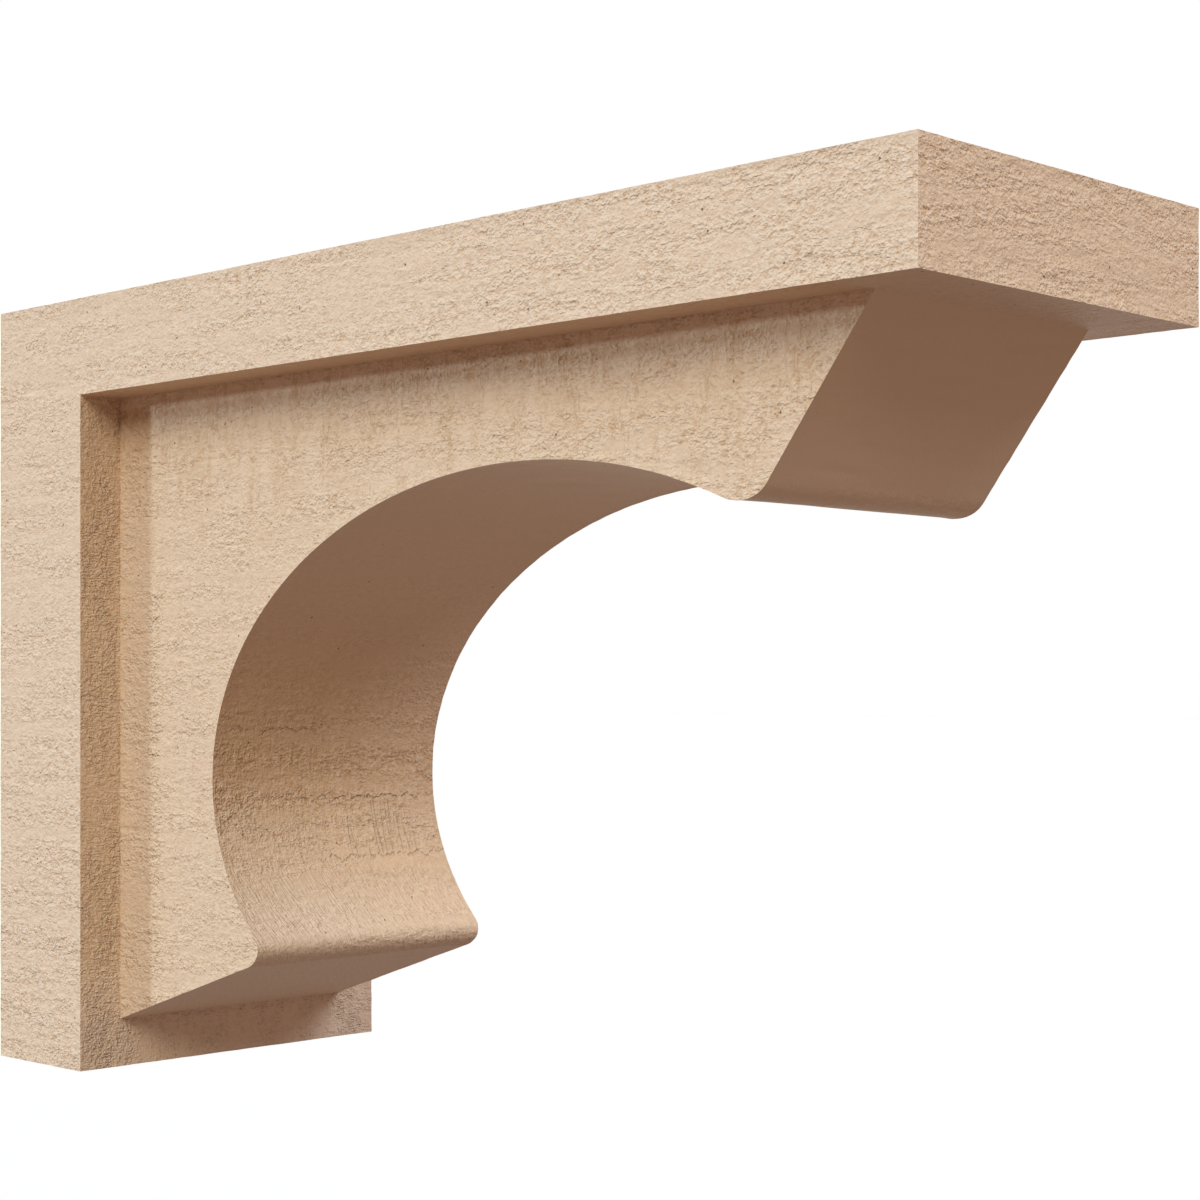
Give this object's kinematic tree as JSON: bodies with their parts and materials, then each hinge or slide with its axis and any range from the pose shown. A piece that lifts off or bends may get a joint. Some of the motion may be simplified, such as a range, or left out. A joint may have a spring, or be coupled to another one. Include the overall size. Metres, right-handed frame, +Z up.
{
  "type": "corbel",
  "caption": "Moulded corbel with a flat top plate and back plate in an L, and a narrower bracket between them hollowed by an elliptical arch, in a rough-sawn timber texture.",
  "frame": {"origin": "centre of the flat back face, in the wall plane", "axes": "+X along the wall, +Y into the wall, +Z up; the corbel reaches out from the wall along -Y"},
  "size_m": [0.1524, 0.4572, 0.3048],
  "materials": {
    "tan_finish": "matte tan factory coat over a moulded rough-sawn grain"
  },
  "bodies": {
    "root": {"corbel": "tan_finish"}
  },
  "joints": []
}
